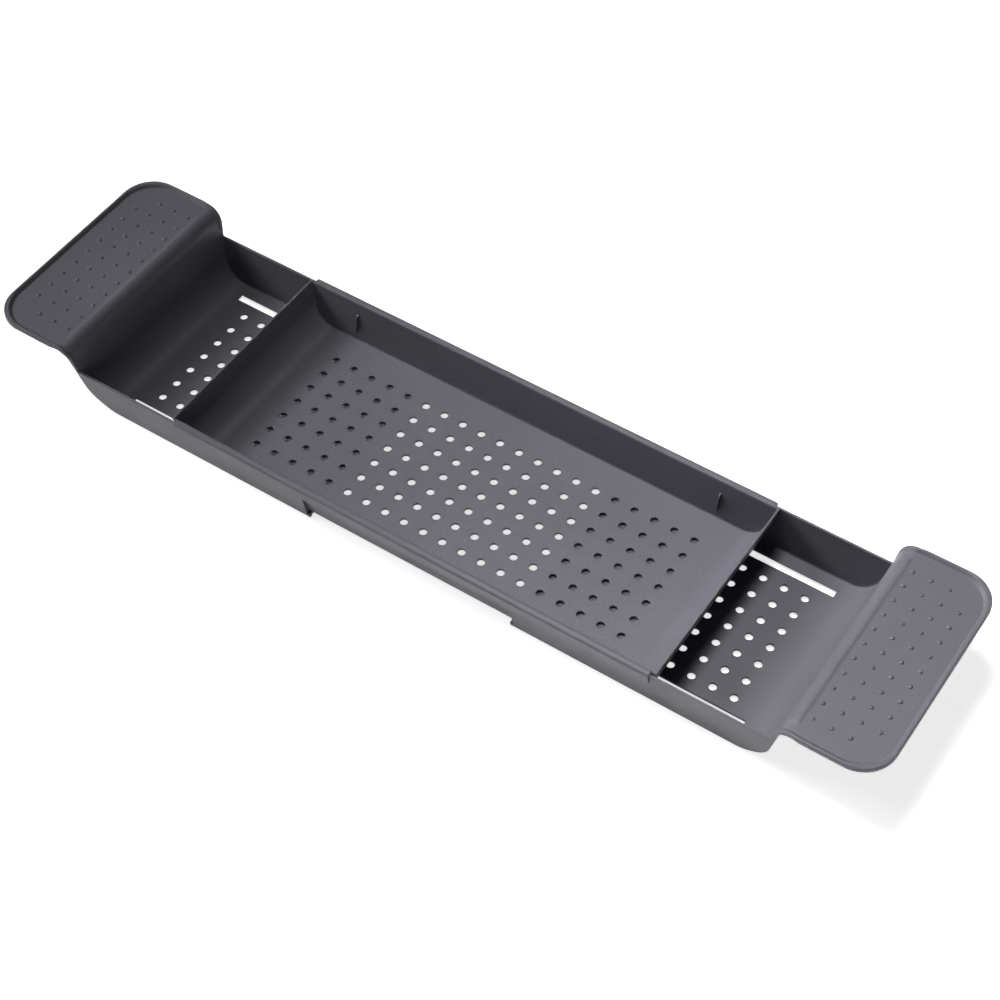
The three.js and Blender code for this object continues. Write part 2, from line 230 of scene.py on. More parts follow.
class EndSizes(bpy.types.PropertyGroup):
    """Sizes of an end tray, with its rise and wing."""

    floor: size("Floor", "Floor thickness", 0.002)
    foot: size("Foot", "Foot edge below the floor", 0.0016)
    foot_width: size("Foot Width", "Width of a foot edge", 0.0024)
    foot_radius: size("Foot Radius", "Between floor and side wall, inside", 0.0015)
    wall_at_floor: size("Wall at Floor", "Wall thickness at the floor", 0.0024)
    wall_start: size("Wall Start", "Middle of the rack to the inner end of the walls", 0.083)
    tongue_round: size("Tongue Round", "Lower edge of the floor's inner end", 0.002)
    first_hole: size("First Hole", "Middle of the rack to the innermost holes", 0.091)
    hole_columns: number("Hole Columns", "Columns of drain holes", 10)
    slot_width: size("Slot Width", "Width of a guide slot", 0.0064)
    slot_place: size("Slot Place", "Middle to the middle of a slot", 0.0605)
    slot_inner: size("Slot Inner End", "Middle of the rack to the slot's inner end", 0.0964)
    slot_outer: size("Slot Outer End", "Middle of the rack to the slot's outer end", 0.2456)
    rise_foot: size("Rise Foot", "Middle of the rack to where the floor bends up", 0.248)
    rise_radius: size("Rise Radius", "Underside of the lower bend", 0.0243)
    rise_lean: angle("Rise Lean", "Lean of the rise from upright", 12)
    shoulder_radius: size("Shoulder Radius", "Underside of the upper bend", 0.009)
    rise_wall: size("Rise Wall", "Thickness of the rise", 0.0022)
    wing_plate: size("Wing Plate", "Thickness of the wing", 0.0022)
    wing_overhang: size("Wing Overhang", "Wing wider than the rise, each side", 0.0007)
    wing_flare: size("Wing Flare", "Length over which the rise widens", 0.006)
    wing_corner: size("Wing Corner", "Radius of the wing's outer corners", 0.024)
    wing_chamfer: size("Wing Chamfer", "Round of the wing's lower edge", 0.0012)
    wing_edge: size("Wing Edge", "Round of the wing's upper outer edge", 0.0008)
    lip_height: size("Lip Height", "Height of the wing's lip", 0.002)
    lip_top: size("Lip Top", "Width of the lip's top", 0.0016)
    lip_slope: size("Lip Slope", "Width of the lip's sloping inner side", 0.0026)
    dish_corner: size("Dish Corner", "Radius at the foot of the lip's slope", 0.024)
    ridge_inset: size("Ridge Inset", "Crest of the ridge beside the rise to the wing", 0.0026)
    ridge_flank: size("Ridge Flank", "From the crest to the ridge's foot on the wing", 0.0039)
    ridge_back: size("Ridge Back", "From the crest to its foot on the rise", 0.016)
    ridge_height: size("Ridge Height", "Height of that ridge", 0.0006)
    ridge_end_gap: size("Ridge End Gap", "Ridge's end to the lip", 0.006)
    bump_columns: number("Bump Columns", "Columns of grip bumps", 4)
    bump_rows: number("Bump Rows", "Bumps in a column", 11)
    bump_outer_rows: number("Outer Rows", "Bumps in the outermost column", 9)
    bump_pitch_x: size("Bump Pitch X", "Distance between columns of bumps", 0.01277)
    bump_pitch_y: size("Bump Pitch Y", "Distance between rows of bumps", 0.01313)
    bump_inset: size("Bump Inset", "Shoulder to the first column", 0.0049)
    bump_radius: size("Bump Radius", "Radius of a bump", 0.0018)
    bump_height: size("Bump Height", "Height of a bump", 0.0008)


class PlasticFinish(bpy.types.PropertyGroup):
    """Matte moulded plastic."""

    colour: paint("Colour", "Plastic's colour", (0.11, 0.107, 0.127))
    streak: factor("Streak", "How far the colour drifts over the moulding", 0.07)
    speckle: factor("Speckle", "How far fine specks differ in colour", 0.1)
    roughness: factor("Roughness", "Mean roughness", 0.46)
    specular: factor("Specular", "Strength of the plastic's reflections", 0.28)
    grain_size: size("Grain Size", "Size of the matte grain", 0.0005)
    grain_depth: size("Grain Depth", "Depth of the matte grain", 0.00003)


class StageSettings(bpy.types.PropertyGroup):
    """Camera, floor and light."""

    lens: FloatProperty(
        name="Lens", description="Focal length for a 36 mm sensor", default=78.94, unit="CAMERA"
    )
    place: FloatVectorProperty(
        name="Camera Place", description="Where the camera stands",
        default=(0.537, -0.7705, 1.15325), size=3, subtype="TRANSLATION", unit="LENGTH",
    )
    right: direction(
        "Camera Right", "Direction of the picture's right", (0.83351, 0.55250, -0.00239)
    )
    ahead: direction(
        "Camera Ahead", "Direction in which the camera looks", (-0.34975, 0.52428, -0.77641)
    )
    floor_colour: paint("Floor Colour", "Colour of the floor", (0.85, 0.85, 0.85))
    floor_white: factor("Floor White", "How bright the floor is seen in full shadow", 0.76)
    shadow_reach: size("Shadow Reach", "Distance at which the floor starts to turn white", 0.5)
    floor_reach: size("Floor Reach", "Half the floor's side", 6)
    sky: factor("Sky", "Strength of the even light", 0.04)
    left_power: power("Left Light", "Power of the large lamp on the left", 15.5)
    far_power: power("Far Light", "Power of the narrow lamp on the left", 1.6)
    top_power: power("Top Light", "Power of the lamp above", 1.85)
    front_power: power("Front Light", "Power of the lamp in front", 6)


# Numbers that follow from the sizes


def places(scene):
    """Heights, leaning faces and stations that follow from the sizes.

    A leaning face lies at foot + tan(lean) times the height above the foot.
    """
    s, c, e = scene.rack_shared, scene.rack_centre, scene.rack_end
    inner, outer = np.tan(s.inner_lean), np.tan(s.outer_lean)
    p = SimpleNamespace()
    p.end_top = e.foot + e.floor
    p.centre_under = p.end_top + s.slide_gap
    p.centre_top = p.centre_under + c.floor
    p.rim_top = p.centre_top + c.depth
    p.rim_under = p.rim_top - c.rim_wall
    p.wall_top = p.rim_under - s.slide_gap
    p.rim_low = p.rim_top - c.rim_drop
    p.lip_top = CAD_BOX[1].z
    p.plate_top = p.lip_top - e.lip_height
    p.plate_under = p.plate_top - e.wing_plate
    p.centre_inside = lambda z: c.floor_half_width + inner * (z - p.centre_top)
    p.centre_outside = lambda z: p.centre_inside(z) + c.wall
    p.centre_reach = lambda z: c.end_wall_reach + inner * (z - p.rim_top)
    p.end_inside = lambda z: p.centre_outside(z) + s.side_gap
    p.end_outside = lambda z: p.end_inside(p.end_top) + e.wall_at_floor + outer * (z - p.end_top)
    p.rim_outside = lambda z: p.centre_inside(p.rim_top) + c.rim_width + outer * (z - p.rim_top)
    p.rim_inside = lambda z: p.rim_outside(z) - c.rim_wall
    p.rim_half = c.end_wall_reach - c.rim_end_inset
    bend = np.tan((np.pi / 2 - e.rise_lean) / 2)
    corner = e.rise_foot + e.rise_radius * bend
    p.rise_outside = lambda z: corner + np.tan(e.rise_lean) * (z - e.foot)
    p.rise_inside = lambda z: p.rise_outside(z) - e.rise_wall / np.cos(e.rise_lean)
    p.wing_inner = p.rise_outside(p.plate_under) + e.shoulder_radius * bend
    p.wing_end = CAD_BOX[1].x
    p.wing_half = p.end_outside(p.plate_top) + e.wing_overhang
    p.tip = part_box("right_end_tray")[0].x
    return p


# Lines and blends


def rounded_path(corners, straight, arcs):
    """Open line through corners (a, b, radius), from the first to the last.

    An inner corner is an arc that touches both its sides: centre + radius turned in even steps.
    straight and arcs are the numbers of steps on each straight part and on each arc.
    """
    spots = np.array([corner[:2] for corner in corners], float)
    lines, start = [], spots[0]
    for k in range(1, len(corners) - 1):
        back, ahead = (spots[k - 1] - spots[k]), (spots[k + 1] - spots[k])
        back, ahead = back / np.linalg.norm(back), ahead / np.linalg.norm(ahead)
        half = np.arccos(np.clip(back @ ahead, -1, 1)) / 2
        middle = (back + ahead) / np.linalg.norm(back + ahead)
        centre = spots[k] + middle * corners[k][2] / np.sin(half)
        first = spots[k] + back * corners[k][2] / np.tan(half)
        sense = -np.sign(back[0] * ahead[1] - back[1] * ahead[0])
        turn = sense * (np.pi - 2 * half) * np.linspace(0, 1, arcs[k - 1] + 1)
        arm = first - centre
        arc = centre + np.column_stack([
            arm[0] * np.cos(turn) - arm[1] * np.sin(turn),
            arm[0] * np.sin(turn) + arm[1] * np.cos(turn),
        ])
        lines += [np.linspace(start, first, straight[k - 1] + 1)[:-1], arc[:-1]]
        start = arc[-1]
    lines.append(np.linspace(start, spots[-1], straight[-1] + 1))
    return np.concatenate(lines).T


def smooth_step(t):
    """0 up to t = 0, 1 from t = 1, and 3t² - 2t³ between them."""
    t = np.clip(t, 0, 1)
    return t * t * (3 - 2 * t)


def eased_ramp(t, ease):
    """0 up to t = 0, 1 from t = 1, straight between them but for a bend of ease at both ends.

    In a bend the height is t² / (2 ease), and the whole is scaled by 1 / (1 - ease).
    """
    low = np.clip(t, 0, ease)
    high = np.clip(1 - t, 0, ease)
    straight = np.clip(t, ease, 1 - ease) - ease
    return (low**2 / (2 * ease) + straight + (ease**2 - high**2) / (2 * ease)) / (1 - ease)


def smooth_max(a, b, blend, floor):
    """The larger of a and b, with a soft fold where they are nearly alike.

    Within the blend h runs from 0 to 1 and h(1 - h) times the blend is added. The blend fades
    to nothing at the floor.
    """
    reach = blend * smooth_step((np.minimum(a, b) - floor) / blend) + LEAST_BLEND
    h = np.clip(0.5 + 0.5 * (a - b) / reach, 0, 1)
    return b + (a - b) * h + reach * h * (1 - h)


def mix(a, b, share):
    """a where share is 0, b where it is 1."""
    return a + (b - a) * share


def quarter(steps):
    """Sine and 1 - cosine of a quarter turn in even steps, both ends included."""
    turn = np.linspace(0, np.pi / 2, steps + 1)
    return np.sin(turn), 1 - np.cos(turn)


def centred(count, pitch):
    """Places of like things in an even row about the middle."""
    return (np.arange(count) - (count - 1) / 2) * pitch


def both_sides(middle, side, sign=1):
    """Values on the lines of one side, of the middle and of the other side.

    side runs from the middle outwards. sign is -1 for places, which are mirrored.
    """
    return np.concatenate([sign * side[::-1], middle, side])


# Drain holes as warped patches of the grid


def hole_lines(centres, pitch):
    """Grid lines for a row of holes: their places, and the hole and the step of each line."""
    lines = (centres[:, None] + PATCH_SHARES * pitch / 2).ravel()
    owner = np.append(np.repeat(centres, len(PATCH_SHARES)), centres[-1])
    step = np.append(np.tile(PATCH_STEPS, len(centres)), PATCH_EDGE)
    return np.append(lines, centres[-1] + pitch / 2), (owner, step)


def among_others(holes, before, after):
    """Hole and step of each line, with lines that pass no hole before them and after them."""
    owner, step = holes
    return np.pad(owner, (before, after)), np.pad(step, (before, after), constant_values=FAR_STEP)


def bend_round_holes(x, y, holes_u, holes_v, s):
    """Moves the lines near each hole so that the square of step 2 becomes a circle.

    On ring r of the patch (the larger of the two steps) the angle runs evenly round the square,
    the circle's point is the hole's centre + ring radius (cos, sin), and the ring's share of
    roundness mixes it with the straight grid.
    """
    (owner_u, step_u), (owner_v, step_v) = holes_u, holes_v
    i, j = np.meshgrid(step_u, step_v, indexing="ij")
    cx, cy = np.meshgrid(owner_u, owner_v, indexing="ij")
    ring = np.maximum(abs(i), abs(j))
    near = (ring > 0) & (ring < PATCH_EDGE)
    ring = np.where(near, ring, 1)
    wide = abs(i) >= abs(j)
    lead = np.where(wide, i, j)
    lead = np.where(lead == 0, 1, lead)
    side = np.pi / 4 * np.where(wide, j, i) / lead
    turn = np.where(wide, side, np.pi / 2 - side) + np.where(lead < 0, np.pi, 0)
    radii = [0, s.hole_diameter / 2 + s.edge_round, s.hole_pitch / 2]
    ring_radius = np.interp(ring, [0, HOLE_STEP, PATCH_EDGE], radii)
    share = np.where(near, ROUND_SHARES[ring], 0)
    return (
        mix(x, cx + ring_radius * np.cos(turn), share),
        mix(y, cy + ring_radius * np.sin(turn), share),
    )


def hole_cells(holes_u, holes_v):
    """Which cells of the grid lie inside the squares that become holes."""
    inside_u, inside_v = (
        (step[:-1] >= -HOLE_STEP) & (step[:-1] < HOLE_STEP) for _, step in (holes_u, holes_v)
    )
    return inside_u[:, None] & inside_v[None, :]


# Meshes


def unit(vectors):
    """Vectors of length 1."""
    lengths = np.linalg.norm(vectors, axis=-1, keepdims=True)
    return vectors / np.maximum(lengths, LEAST_LENGTH)


def sheet_normals(points, present):
    """Unit normals of a grid: the sum of the diagonals' cross products of the cells round it."""
    cross = np.cross(points[1:, 1:] - points[:-1, :-1], points[:-1, 1:] - points[1:, :-1])
    cross = cross * present[..., None]
    total = np.zeros_like(points)
    total[:-1, :-1] += cross
    total[1:, :-1] += cross
    total[:-1, 1:] += cross
    total[1:, 1:] += cross
    return unit(total).reshape(-1, 3)


def border_outward(points, normals, first, last):
    """Direction along the sheet and away from it at each border point.

    It is the sum of the outward directions of the two border edges there, made long enough for
    a point moved along it to lie one unit off both edges.
    """
    outward = unit(np.cross(points[last] - points[first], normals[first] + normals[last]))
    leaving, coming = np.zeros_like(points), np.zeros_like(points)
    leaving[first], coming[last] = outward, outward
    leaving, coming = leaving[first], coming[first]
    return (leaving + coming) / (1 + np.sum(leaving * coming, axis=1, keepdims=True))


def thick_sheet(top, under, present, round_top, round_under):
    """Closed shell of an upper and an under sheet, with rounded edges.

    top and under are grids of points, and present says which cells exist. Round every border,
    outside and at holes, the edge leaves the top in an arc of round_top, sin along the sheet and
    1 - cos down, runs straight, and meets the under sheet in such an arc of round_under. It
    bulges out of the cells by those radii. Returns points and quads.
    """
    count = top.shape[0] * top.shape[1]
    index = np.arange(count).reshape(top.shape[:2])
    a, b, c, d = index[:-1, :-1], index[1:, :-1], index[1:, 1:], index[:-1, 1:]
    wide = np.pad(present, 1)
    bare = [
        (a, b, wide[1:-1, :-2]), (b, c, wide[2:, 1:-1]),
        (c, d, wide[1:-1, 2:]), (d, a, wide[:-2, 1:-1]),
    ]
    ends = [(p[present & ~beyond], q[present & ~beyond]) for p, q, beyond in bare]
    first = np.concatenate([p for p, _ in ends])
    last = np.concatenate([q for _, q in ends])
    tops, unders = top.reshape(-1, 3), under.reshape(-1, 3)
    along, away = (part[1:, None, None] for part in quarter(ARC_STEPS))
    rings = []
    for points, sheet, rounding, down in (
        (tops, top, round_top, -1), (unders, under, round_under, 1)
    ):
        normals = sheet_normals(sheet, present)
        out = border_outward(points, normals, first, last)
        radius = rounding.ravel()[first, None]
        arc = along * out + down * away * normals[first]
        rings += list(points[first] + radius * arc)[::-down]
    place = np.full(count, -1)
    place[first] = np.arange(len(first))
    levels = [(first, last)]
    for k in range(len(rings)):
        start = 2 * count + k * len(first)
        levels.append((start + place[first], start + place[last]))
    levels.append((first + count, last + count))
    cells = np.stack([a[present], b[present], c[present], d[present]], axis=-1)
    quads = [cells, cells[:, ::-1] + count]
    for (here, there), (next_here, next_there) in zip(levels, levels[1:]):
        quads.append(np.stack([there, here, next_here, next_there], axis=-1))
    quads = np.concatenate(quads)
    points = np.concatenate([tops, unders, *rings])
    used, quads = np.unique(quads, return_inverse=True)
    return points[used], [quads.reshape(-1, 4)]


def merged(shells):
    """Several shells (points, faces) as one."""
    starts = np.cumsum([0] + [len(points) for points, _ in shells])
    faces = [f + start for (_, group), start in zip(shells, starts) for f in group]
    return np.concatenate([points for points, _ in shells]), faces


def place_piece(name, shell, node, body, material):
    """Puts a shell into a mesh object that stands for a CAD node and rides on its body."""
    points, faces = shell
    mesh = bpy.data.meshes.new(name)
    mesh.from_pydata(points.tolist(), [], [face for group in faces for face in group.tolist()])
    welded = bmesh.new()
    welded.from_mesh(mesh)
    bmesh.ops.remove_doubles(welded, verts=welded.verts, dist=MERGE_REACH)
    welded.to_mesh(mesh)
    welded.free()
    mesh.shade_smooth()
    mesh.set_sharp_from_angle(angle=np.radians(SHARP_ANGLE))
    mesh.materials.append(material)
    piece = bpy.data.objects.new(name, mesh)
    bpy.context.scene.collection.objects.link(piece)
    weigh = piece.modifiers.new("even_shading", "WEIGHTED_NORMAL")
    weigh.keep_sharp = True
    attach(piece, body)
    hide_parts(node)
    return piece


# Centre tray


def centre_basin(scene):
    """Floor, walls, end walls and hooked rims of the centre tray.

    The upper surface is the larger of two side lines: one seen from the side, S(x), with the
    scooped end walls, and one seen from the end, K(y), with the long walls. The under surface
    is made the same way of the outer lines. The rims run on from the walls' tops over the
    outside, and stop short of the ends.
    """
    s, c, p = scene.rack_shared, scene.rack_centre, places(scene)
    r = s.edge_round
    rim_end = p.rim_half - r
    lines_u, holes_u = hole_lines(centred(c.hole_columns, s.hole_pitch), s.hole_pitch)
    lines_v, holes_v = hole_lines(centred(s.hole_rows, s.hole_pitch), s.hole_pitch)

    # Seen from the side: from the last holes up the end wall, with a station at the rim's end
    x_end, z_end = rounded_path(
        [(lines_u[-1], p.centre_top), (p.centre_reach(p.centre_top), p.centre_top, c.scoop_radius),
         (p.centre_reach(p.rim_top), p.rim_top, c.end_top_round),
         (p.centre_reach(p.rim_top) + c.wall - r, p.rim_top)],
        [GAP_STEPS, END_WALL_STEPS, 1], [SCOOP_STEPS, END_TOP_STEPS],
    )
    x_under_end, z_under_end = rounded_path(
        [(lines_u[-1], p.centre_under),
         (p.centre_reach(p.centre_under) + c.wall, p.centre_under, c.scoop_radius + c.floor),
         (p.centre_reach(p.rim_under) + c.wall, p.rim_under)],
        [GAP_STEPS, END_WALL_STEPS + END_TOP_STEPS + 1], [SCOOP_STEPS],
    )
    stop = np.argmin(abs(x_end - rim_end))
    z_end[stop] = np.interp(rim_end, x_end, z_end)
    x_end[stop] = rim_end

    # Seen from the end: from the last holes up the long wall and over the rim
    steps = [MARGIN_STEPS, WALL_STEPS, RIM_TOP_STEPS, SKIRT_STEPS]
    arcs = [FOOT_STEPS, RIM_ARC_STEPS, RIM_ARC_STEPS]
    y_side, z_side = rounded_path(
        [(lines_v[-1], p.centre_top), (p.centre_inside(p.centre_top), p.centre_top, c.foot_radius),
         (p.centre_inside(p.rim_top), p.rim_top, c.rim_round),
         (p.rim_outside(p.rim_top), p.rim_top, c.rim_round),
         (p.rim_outside(p.rim_low + r), p.rim_low + r)],
        steps, arcs,
    )
    y_under_side, z_under_side = rounded_path(
        [(lines_v[-1], p.centre_under),
         (p.centre_outside(p.centre_under), p.centre_under, c.foot_round),
         (p.centre_outside(p.rim_under), p.rim_under, r),
         (p.rim_inside(p.rim_under), p.rim_under, r),
         (p.rim_inside(p.rim_low + r), p.rim_low + r)],
        steps, arcs,
    )
    join_line = MARGIN_STEPS + FOOT_STEPS + WALL_STEPS + RIM_ARC_STEPS
    last_line = len(y_side) - 1

    # The whole grid: every line's place and height, and its number from the floor outwards
    x_top = both_sides(lines_u, x_end[1:], -1)
    s_top = both_sides(np.full_like(lines_u, p.centre_top), z_end[1:])
    x_under = both_sides(lines_u, x_under_end[1:], -1)
    y_top = both_sides(lines_v, y_side[1:], -1)
    k_top = both_sides(np.full_like(lines_v, p.centre_top), z_side[1:])
    y_under = both_sides(lines_v, y_under_side[1:], -1)
    k_under = both_sides(np.full_like(lines_v, p.centre_under), z_under_side[1:])
    line = both_sides(np.zeros(len(lines_v), int), np.arange(1, last_line + 1))
    holes_u = among_others(holes_u, len(x_end) - 1, len(x_end) - 1)
    holes_v = among_others(holes_v, last_line, last_line)

    # Upper surface. The rim's lower edge lifts in a quarter round at its ends
    x, y = np.meshgrid(x_top, y_top, indexing="ij")
    in_rim = line >= join_line
    skirt = np.clip((line - (last_line - SKIRT_STEPS)) / SKIRT_STEPS, 0, 1)
    past = np.clip(abs(x_top) - (p.rim_half - c.rim_corner), 0, c.rim_corner - MERGE_REACH)
    lift = (c.rim_corner - np.sqrt(c.rim_corner**2 - past**2))[:, None] * skirt
    basin = smooth_max(s_top[:, None], k_top[None, :], s.corner_round, p.centre_top)
    z = np.where(in_rim, k_top, np.minimum(basin, p.rim_top)) + lift
    y = np.where(skirt > 0, np.sign(y) * p.rim_outside(z), y)
    x, y = bend_round_holes(x, y, holes_u, holes_v, s)
    top = np.stack([x, y, z], axis=-1)

    # Under surface. Near the rim its stations are those of the upper one
    share = np.clip((join_line - RIM_ARC_STEPS - line) / SHIFT_STEPS, 0, 1)
    x = mix(x_top[:, None], x_under[:, None], share[None, :])
    s_under = np.interp(abs(x), np.r_[0, x_under_end], np.r_[p.centre_under, z_under_end])
    basin = smooth_max(s_under, k_under[None, :], s.corner_round, p.centre_under)
    z = np.where(in_rim, k_under, np.minimum(basin, p.rim_under)) + lift
    y = np.where(skirt > 0, np.sign(y_under) * p.rim_inside(z), y_under)
    x, y = bend_round_holes(x, y, holes_u, holes_v, s)
    under = np.stack([x, y, z], axis=-1)

    # Cells: the drain holes are left out, and the rims past their ends
    middle_u = (abs(x_top[1:]) + abs(x_top[:-1])) / 2
    cell_in_rim = np.minimum(line[1:], line[:-1]) >= join_line
    present = ~hole_cells(holes_u, holes_v)
    present &= ~((middle_u > rim_end)[:, None] & cell_in_rim[None, :])

    # Past the rims' ends the under sheet's edge stays plain, to meet the end wall's top
    plain = (abs(x_top) >= rim_end - MERGE_REACH)[:, None] & (line <= join_line)[None, :]
    round_top, round_under = np.full(plain.shape, r), np.where(plain, 0, r)
    round_top[plain & (line == join_line)[None, :]] = 0
    return thick_sheet(top, under, present, round_top, round_under)


def plate_between(left, right, x_from, x_to, round_edge):
    """Flat piece standing across the rack, between two lines seen from the end.

    left and right are lists of (y, z) from the bottom up. Its faces lie at x_from and x_to.
    """
    if left[0][0] > right[0][0]:
        left, right = right, left
    face = np.array([left, right], float)
    near, far = (np.insert(face, 0, x, axis=-1) for x in (x_from, x_to))
    rounds = np.full(face.shape[:2], round_edge)
    return thick_sheet(far, near, np.ones((1, len(left) - 1), bool), rounds, rounds)


def centre_fins(scene):
    """Four fins on the long walls: a straight free edge, and a round slope up to the wall."""
    c, p = scene.rack_centre, places(scene)
    r = c.fin_thickness / 4
    edge = c.floor_half_width + c.fin_setback + r
    low, high = p.centre_top + c.fin_base + r, p.centre_top + c.fin_top - r
    shoulder = p.centre_top + c.fin_shoulder
    rise, out = quarter(FIN_ARC_STEPS)
    z = np.r_[np.linspace(low, shoulder, FIN_STEPS + 1)[:-1], shoulder + (high - shoulder) * rise]
    free = np.r_[np.full(FIN_STEPS, edge), edge + (p.centre_inside(high) - edge) * out]
    back = p.centre_inside(z) + c.wall / 2
    place = c.end_wall_reach - c.fin_inset
    return [
        plate_between(
            list(zip(side * free, z)), list(zip(side * back, z)),
            x - c.fin_thickness / 2, x + c.fin_thickness / 2, r,
        )
        for x in (-place, place) for side in (-1, 1)
    ]


def centre_hooks(scene):
    """Snap hooks under the floor: two legs in the slot, each with a barb under its edge."""
    s, c, e, p = scene.rack_shared, scene.rack_centre, scene.rack_end, places(scene)
    r = c.hook_barb / 4
    inside, outside = c.hook_split / 2 + r, e.slot_width / 2 - s.side_gap - r
    barb = e.slot_width / 2 + c.hook_barb - r
    barb_top = e.foot - s.slide_gap - r
    low, root = barb_top - c.hook_head + r, p.centre_under + c.floor / 2
    heights = [low + r, barb_top, barb_top + r, root]
    across = [outside, barb, outside, outside]
    place = c.end_wall_reach - c.hook_inset
    return [
        plate_between(
            [(y + side * inside, z) for z in heights],
            [(y + side * a, z) for a, z in zip(across, heights)],
            x - c.hook_length / 2, x + c.hook_length / 2, r,
        )
        for x in (-place, place) for y in (-e.slot_place, e.slot_place) for side in (-1, 1)
    ]


# End trays


def lip_share(x, y, half_width, e, p):
    """1 on the lip's top, 0 inside the dish, smooth between them.

    The distance outside the dish's outline, a rectangle with round corners, is the length of
    the part of (x, y) beyond the corner's centre, less the corner radius.
    """
    inset = e.lip_top + e.lip_slope
    qx = x - (p.wing_end - inset - e.dish_corner)
    qy = abs(y) - (half_width - inset - e.dish_corner)
    outside = np.hypot(np.maximum(qx, 0), np.maximum(qy, 0))
    outside += np.minimum(np.maximum(qx, qy), 0) - e.dish_corner
    return eased_ramp(outside / e.lip_slope, LIP_EASE)


def ridge_height(x, y, e, p):
    """Low ridge across the wing, beside the rise.

    From its crest it falls in a smooth step, over the flank towards the wing and over the back
    towards the rise. Past its ends the distance from the crest's end counts.
    """
    reach = p.wing_half - e.lip_top - e.lip_slope - e.ridge_end_gap - e.ridge_flank
    across = x - (p.wing_inner - e.ridge_inset)
    past = np.maximum(abs(y) - reach, 0) / e.ridge_flank
    away = np.hypot(across / np.where(across > 0, e.ridge_flank, e.ridge_back), past)
    return e.ridge_height * (1 - smooth_step(away))


def quarter_round(x, y, ring_u, ring_v, inset, radius, p):
    """Bends the square corner block of the wing into a quarter of a disc.

    With a and b the steps from the corner's centre lines, the larger one is the ring, the angle
    runs evenly round the square from 0 to a right angle, and the ring's radius is the corner
    radius less the ring's inset.
    """
    last = len(inset) - 1
    i, j = np.meshgrid(ring_u, ring_v, indexing="ij")
    block = (i < last) & (j < last)
    a, b = last - np.minimum(i, last), last - np.minimum(j, last)
    lead = np.maximum(np.maximum(a, b), 1)
    turn = np.where(a >= b, np.pi / 4 * b / lead, np.pi / 2 - np.pi / 4 * a / lead)
    reach = radius - inset[np.minimum(np.minimum(i, j), last)]
    cx, cy = p.wing_end - radius, p.wing_half - radius
    return (
        np.where(block, cx + reach * np.cos(turn), x),
        np.where(block, np.sign(y) * (cy + reach * np.sin(turn)), y),
    )


def wing_edge_lines(e, rings):
    """Lines on the under side of the wing, from the top of its edge inwards.

    They run down the upright edge, in a quarter round under it and over the flat. For each line
    it gives its distance in from the outline, its height above the under face, and the share of
    the way from there to the edge's top that it is raised by.
    """
    out, up = quarter(CHAMFER_STEPS)
    flat = rings + 1 - FACE_LINES - CHAMFER_STEPS
    return np.array([
        np.r_[
            np.zeros(FACE_LINES), e.wing_chamfer * up[1:],
            np.linspace(e.wing_chamfer, e.wing_corner, flat + 1)[1:],
        ],
        np.r_[
            np.linspace(0, 1, FACE_LINES) * e.wing_chamfer, e.wing_chamfer * (1 - out[1:]),
            np.zeros(flat),
        ],
        np.r_[np.linspace(1, 0, FACE_LINES), np.zeros(CHAMFER_STEPS + flat)],
    ])


def tray_edge_lines(e, p, rings, toe):
    """The same for the tray: down the side wall's face, round the foot edge, over the floor."""
    out, up = quarter(TOE_STEPS)
    inset = np.r_[
        np.zeros(SIDE_LINES), toe * up, mix(toe, e.foot_width - toe, 0.5),
        e.foot_width - toe + toe * out, e.foot_width, e.foot_width + toe * up[1:],
    ]
    flat = rings - len(inset)
    end_inset = p.end_outside(0) - (e.slot_place + e.slot_width / 2)
    return np.array([
        np.r_[inset, np.linspace(inset[-1], end_inset, flat + 1)[1:]],
        np.r_[
            np.linspace(0, 1, SIDE_LINES + 1)[:-1] * (toe - e.foot), toe * (1 - out) - e.foot,
            -e.foot, toe * up - e.foot, -toe, toe * (out[1:] - 1), np.zeros(flat),
        ],
        np.r_[np.linspace(1, 0, SIDE_LINES + 1)[:-1], np.zeros(rings - SIDE_LINES)],
    ])


